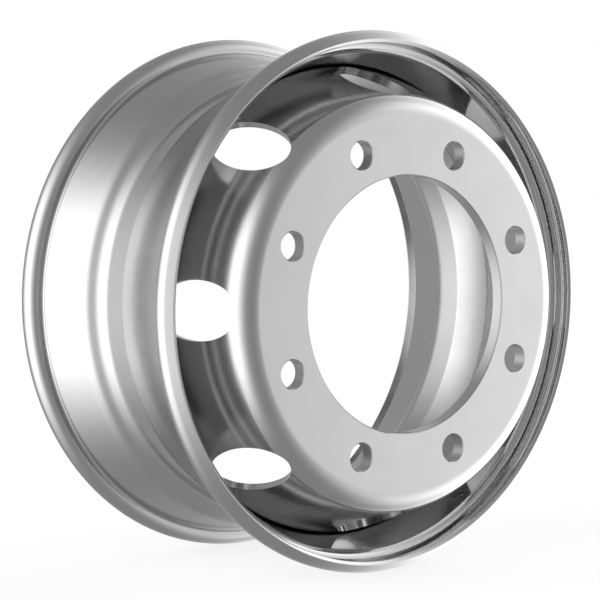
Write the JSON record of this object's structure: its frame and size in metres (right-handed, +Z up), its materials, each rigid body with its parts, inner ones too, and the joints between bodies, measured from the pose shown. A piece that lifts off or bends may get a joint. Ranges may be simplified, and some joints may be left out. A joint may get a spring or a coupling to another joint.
{
  "type": "truck wheel",
  "caption": "Steel disc wheel for a tubeless truck tyre: a drop centre rim with a spun disc welded inside, pierced by hand holes, a hub bore and a circle of bolt holes.",
  "frame": {"origin": "centre of the hub bore, on the hub face, which is the inboard face of the disc's flat plate", "axes": "+Y along the wheel's axis towards the vehicle, +Z up, +X to the right as seen from outside the vehicle"},
  "size_m": [0.4698, 0.2513, 0.4698],
  "materials": {
    "bright_steel": "bright bare metal, finely turned and polished to a satin mirror",
    "weld_steel": "rippled weld, brushed clean and duller than the sheet"
  },
  "bodies": {
    "root": {"rim": "bright_steel", "disc": "bright_steel", "weld_bead": "weld_steel"}
  },
  "joints": []
}
